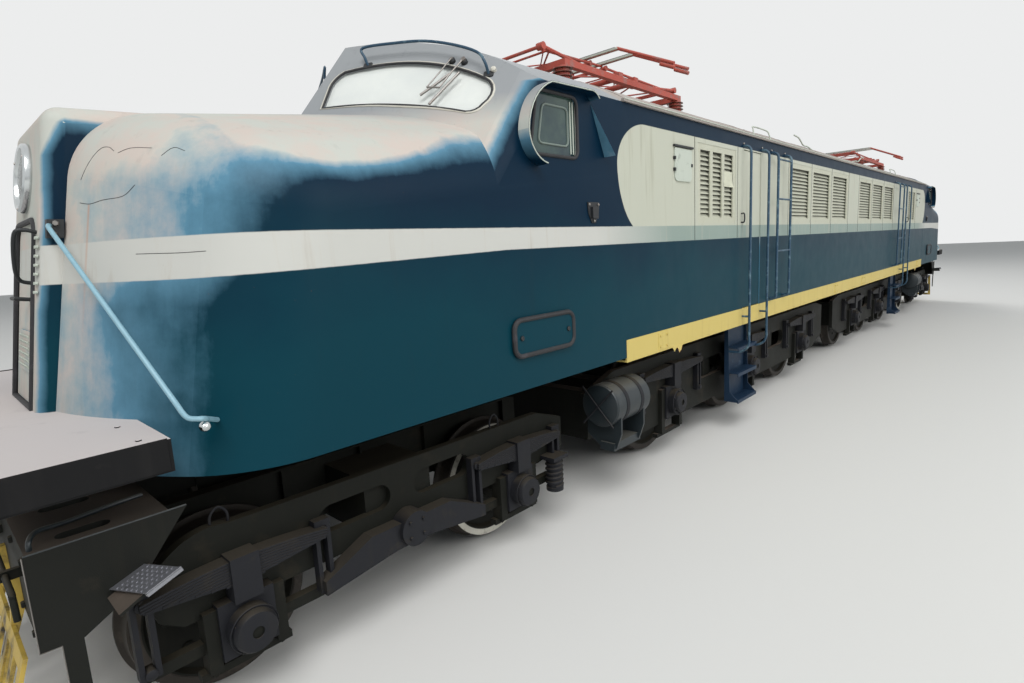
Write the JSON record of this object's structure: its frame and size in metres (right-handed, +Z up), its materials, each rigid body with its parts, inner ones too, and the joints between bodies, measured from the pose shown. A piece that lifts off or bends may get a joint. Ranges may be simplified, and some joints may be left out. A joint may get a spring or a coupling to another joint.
{
  "type": "electric locomotive",
  "caption": "Double-ended electric locomotive with rounded streamlined noses, louvred sides, articulated outside-framed running gear and folded roof pantographs.",
  "frame": {"origin": "middle of the locomotive, on the level that the wheel flanges reach", "axes": "+X along the locomotive to its front end, +Y to its left side, +Z up"},
  "size_m": [23.1, 3.2532, 4.3108],
  "materials": {
    "body_paint": "gloss",
    "cream_paint": "satin",
    "roof_paint": "matte",
    "sill_paint": "satin",
    "machine_paint": "satin",
    "platform_paint": "matte",
    "window_glass": "clear",
    "lamp_chrome": "polished",
    "rail_paint": "satin",
    "pantograph_paint": "satin",
    "running_gear": "matte",
    "reservoir_paint": "satin",
    "wheel_steel": "worn"
  },
  "bodies": {
    "root": {"nose_cab_front": "body_paint", "nose_cab_rear": "body_paint", "body_side_left": "body_paint", "body_side_right": "body_paint", "louvres_left": "cream_paint", "louvres_right": "cream_paint", "roof": "roof_paint", "sills": "sill_paint", "underframe": "running_gear", "machine_block": "machine_paint", "platforms": "platform_paint", "cab_glass": "window_glass", "cab_interiors": "machine_paint", "headlights": "lamp_chrome", "side_covers": "body_paint", "ladders_and_handrails": "rail_paint", "nose_handrails": "rail_paint", "pantograph_bases": "pantograph_paint"},
    "frame_front": {"main_frame_front": "running_gear", "traction_motors_front": "running_gear", "coupler_front": "running_gear", "pilot_front": "running_gear", "driving_gear_front": "running_gear", "air_reservoirs_front": "reservoir_paint"},
    "truck_front": {"guiding_frame_front": "running_gear", "guiding_gear_front": "running_gear"},
    "frame_rear": {"main_frame_rear": "running_gear", "traction_motors_rear": "running_gear", "coupler_rear": "running_gear", "pilot_rear": "running_gear", "driving_gear_rear": "running_gear", "air_reservoirs_rear": "reservoir_paint"},
    "truck_rear": {"guiding_frame_rear": "running_gear", "guiding_gear_rear": "running_gear"},
    "driving_wheelset_front_1": {"driving_wheelset_front_1": "wheel_steel"},
    "driving_wheelset_front_2": {"driving_wheelset_front_2": "wheel_steel"},
    "driving_wheelset_front_3": {"driving_wheelset_front_3": "wheel_steel"},
    "guiding_wheelset_front_1": {"guiding_wheelset_front_1": "wheel_steel"},
    "guiding_wheelset_front_2": {"guiding_wheelset_front_2": "wheel_steel"},
    "driving_wheelset_rear_1": {"driving_wheelset_rear_1": "wheel_steel"},
    "driving_wheelset_rear_2": {"driving_wheelset_rear_2": "wheel_steel"},
    "driving_wheelset_rear_3": {"driving_wheelset_rear_3": "wheel_steel"},
    "guiding_wheelset_rear_1": {"guiding_wheelset_rear_1": "wheel_steel"},
    "guiding_wheelset_rear_2": {"guiding_wheelset_rear_2": "wheel_steel"},
    "side_door_left_front": {"side_door_left_front": "body_paint"},
    "side_door_left_rear": {"side_door_left_rear": "body_paint"},
    "side_door_right_front": {"side_door_right_front": "body_paint"},
    "side_door_right_rear": {"side_door_right_rear": "body_paint"},
    "nose_door_front": {"nose_door_front": "body_paint"},
    "nose_door_rear": {"nose_door_rear": "body_paint"},
    "pantograph_lower_outer_front": {"pantograph_lower_outer_front": "pantograph_paint"},
    "pantograph_upper_outer_front": {"pantograph_upper_outer_front": "pantograph_paint"},
    "pantograph_lower_inner_front": {"pantograph_lower_inner_front": "pantograph_paint"},
    "pantograph_upper_inner_front": {"pantograph_upper_inner_front": "pantograph_paint"},
    "pantograph_head_front": {"pantograph_head_front": "pantograph_paint"},
    "pantograph_lower_outer_rear": {"pantograph_lower_outer_rear": "pantograph_paint"},
    "pantograph_upper_outer_rear": {"pantograph_upper_outer_rear": "pantograph_paint"},
    "pantograph_lower_inner_rear": {"pantograph_lower_inner_rear": "pantograph_paint"},
    "pantograph_upper_inner_rear": {"pantograph_upper_inner_rear": "pantograph_paint"},
    "pantograph_head_rear": {"pantograph_head_rear": "pantograph_paint"}
  },
  "joints": [
    {"name": "frame_swivel_front", "type": "hinge", "parent": "root", "child": "frame_front", "pos_m": [3.75, 0, 1.2], "axis": [0, 0, 1], "range_deg": [-2, 2]},
    {"name": "frame_swivel_rear", "type": "hinge", "parent": "root", "child": "frame_rear", "pos_m": [-3.75, 0, 1.2], "axis": [0, 0, 1], "range_deg": [-2, 2]},
    {"name": "truck_swivel_front", "type": "hinge", "parent": "frame_front", "child": "truck_front", "pos_m": [9.305, 0, 1], "axis": [0, 0, 1], "range_deg": [-2, 2]},
    {"name": "truck_swivel_rear", "type": "hinge", "parent": "frame_rear", "child": "truck_rear", "pos_m": [-9.305, 0, 1], "axis": [0, 0, 1], "range_deg": [-2, 2]},
    {"name": "driving_axle_front_1", "type": "hinge", "parent": "frame_front", "child": "driving_wheelset_front_1", "pos_m": [1.65, 0, 0.612], "axis": [0, 1, 0], "continuous": true},
    {"name": "driving_axle_front_2", "type": "hinge", "parent": "frame_front", "child": "driving_wheelset_front_2", "pos_m": [3.75, 0, 0.612], "axis": [0, 1, 0], "continuous": true},
    {"name": "driving_axle_front_3", "type": "hinge", "parent": "frame_front", "child": "driving_wheelset_front_3", "pos_m": [5.85, 0, 0.612], "axis": [0, 1, 0], "continuous": true},
    {"name": "guiding_axle_front_1", "type": "hinge", "parent": "truck_front", "child": "guiding_wheelset_front_1", "pos_m": [8.28, 0, 0.485], "axis": [0, 1, 0], "continuous": true},
    {"name": "guiding_axle_front_2", "type": "hinge", "parent": "truck_front", "child": "guiding_wheelset_front_2", "pos_m": [10.33, 0, 0.485], "axis": [0, 1, 0], "continuous": true},
    {"name": "driving_axle_rear_1", "type": "hinge", "parent": "frame_rear", "child": "driving_wheelset_rear_1", "pos_m": [-1.65, 0, 0.612], "axis": [0, 1, 0], "continuous": true},
    {"name": "driving_axle_rear_2", "type": "hinge", "parent": "frame_rear", "child": "driving_wheelset_rear_2", "pos_m": [-3.75, 0, 0.612], "axis": [0, 1, 0], "continuous": true},
    {"name": "driving_axle_rear_3", "type": "hinge", "parent": "frame_rear", "child": "driving_wheelset_rear_3", "pos_m": [-5.85, 0, 0.612], "axis": [0, 1, 0], "continuous": true},
    {"name": "guiding_axle_rear_1", "type": "hinge", "parent": "truck_rear", "child": "guiding_wheelset_rear_1", "pos_m": [-8.28, 0, 0.485], "axis": [0, 1, 0], "continuous": true},
    {"name": "guiding_axle_rear_2", "type": "hinge", "parent": "truck_rear", "child": "guiding_wheelset_rear_2", "pos_m": [-10.33, 0, 0.485], "axis": [0, 1, 0], "continuous": true},
    {"name": "side_door_left_front_hinge", "type": "hinge", "parent": "root", "child": "side_door_left_front", "pos_m": [4.278, 1.469, 1.5], "axis": [0, 0, -1], "range_deg": [0, 90]},
    {"name": "side_door_left_rear_hinge", "type": "hinge", "parent": "root", "child": "side_door_left_rear", "pos_m": [-4.278, 1.469, 1.5], "axis": [0, 0, 1], "range_deg": [0, 90]},
    {"name": "side_door_right_front_hinge", "type": "hinge", "parent": "root", "child": "side_door_right_front", "pos_m": [4.278, -1.469, 1.5], "axis": [0, 0, 1], "range_deg": [0, 90]},
    {"name": "side_door_right_rear_hinge", "type": "hinge", "parent": "root", "child": "side_door_right_rear", "pos_m": [-4.278, -1.469, 1.5], "axis": [0, 0, -1], "range_deg": [0, 90]},
    {"name": "nose_door_front_hinge", "type": "hinge", "parent": "root", "child": "nose_door_front", "pos_m": [10.85238, -0.272, 1.59112], "axis": [-0.1532, 0, 0.9882], "range_deg": [0, 85]},
    {"name": "nose_door_rear_hinge", "type": "hinge", "parent": "root", "child": "nose_door_rear", "pos_m": [-10.85238, 0.272, 1.59112], "axis": [0.1532, 0, 0.9882], "range_deg": [0, 85]},
    {"name": "pantograph_lower_outer_front_hinge", "type": "hinge", "parent": "root", "child": "pantograph_lower_outer_front", "pos_m": [5.8, 0, 4], "axis": [0, -1, 0], "range_deg": [0, 58]},
    {"name": "pantograph_upper_outer_front_hinge", "type": "hinge", "parent": "pantograph_lower_outer_front", "child": "pantograph_upper_outer_front", "pos_m": [6.91387, 0, 4.11707], "axis": [0, 1, 0], "range_deg": [0, 116]},
    {"name": "pantograph_lower_inner_front_hinge", "type": "hinge", "parent": "root", "child": "pantograph_lower_inner_front", "pos_m": [5.5, 0, 4], "axis": [0, 1, 0], "range_deg": [0, 58]},
    {"name": "pantograph_upper_inner_front_hinge", "type": "hinge", "parent": "pantograph_lower_inner_front", "child": "pantograph_upper_inner_front", "pos_m": [4.38614, 0, 4.11707], "axis": [0, -1, 0], "range_deg": [0, 116]},
    {"name": "pantograph_head_front_hinge", "type": "hinge", "parent": "pantograph_upper_outer_front", "child": "pantograph_head_front", "pos_m": [5.8, 0, 4.23414], "axis": [0, -1, 0], "range_deg": [0, 58]},
    {"name": "pantograph_lower_outer_rear_hinge", "type": "hinge", "parent": "root", "child": "pantograph_lower_outer_rear", "pos_m": [-5.8, 0, 4], "axis": [0, 1, 0], "range_deg": [0, 58]},
    {"name": "pantograph_upper_outer_rear_hinge", "type": "hinge", "parent": "pantograph_lower_outer_rear", "child": "pantograph_upper_outer_rear", "pos_m": [-6.91387, 0, 4.11707], "axis": [0, -1, 0], "range_deg": [0, 116]},
    {"name": "pantograph_lower_inner_rear_hinge", "type": "hinge", "parent": "root", "child": "pantograph_lower_inner_rear", "pos_m": [-5.5, 0, 4], "axis": [0, -1, 0], "range_deg": [0, 58]},
    {"name": "pantograph_upper_inner_rear_hinge", "type": "hinge", "parent": "pantograph_lower_inner_rear", "child": "pantograph_upper_inner_rear", "pos_m": [-4.38614, 0, 4.11707], "axis": [0, 1, 0], "range_deg": [0, 116]},
    {"name": "pantograph_head_rear_hinge", "type": "hinge", "parent": "pantograph_upper_outer_rear", "child": "pantograph_head_rear", "pos_m": [-5.8, 0, 4.23414], "axis": [0, 1, 0], "range_deg": [0, 58]}
  ],
  "couplings": [
    {"joint": "frame_swivel_rear", "follows": "frame_swivel_front", "ratio": -1},
    {"joint": "pantograph_lower_inner_front_hinge", "follows": "pantograph_lower_outer_front_hinge", "ratio": 1},
    {"joint": "pantograph_upper_outer_front_hinge", "follows": "pantograph_lower_outer_front_hinge", "ratio": 2},
    {"joint": "pantograph_upper_inner_front_hinge", "follows": "pantograph_lower_outer_front_hinge", "ratio": 2},
    {"joint": "pantograph_head_front_hinge", "follows": "pantograph_lower_outer_front_hinge", "ratio": 1},
    {"joint": "pantograph_lower_inner_rear_hinge", "follows": "pantograph_lower_outer_rear_hinge", "ratio": 1},
    {"joint": "pantograph_upper_outer_rear_hinge", "follows": "pantograph_lower_outer_rear_hinge", "ratio": 2},
    {"joint": "pantograph_upper_inner_rear_hinge", "follows": "pantograph_lower_outer_rear_hinge", "ratio": 2},
    {"joint": "pantograph_head_rear_hinge", "follows": "pantograph_lower_outer_rear_hinge", "ratio": 1}
  ]
}
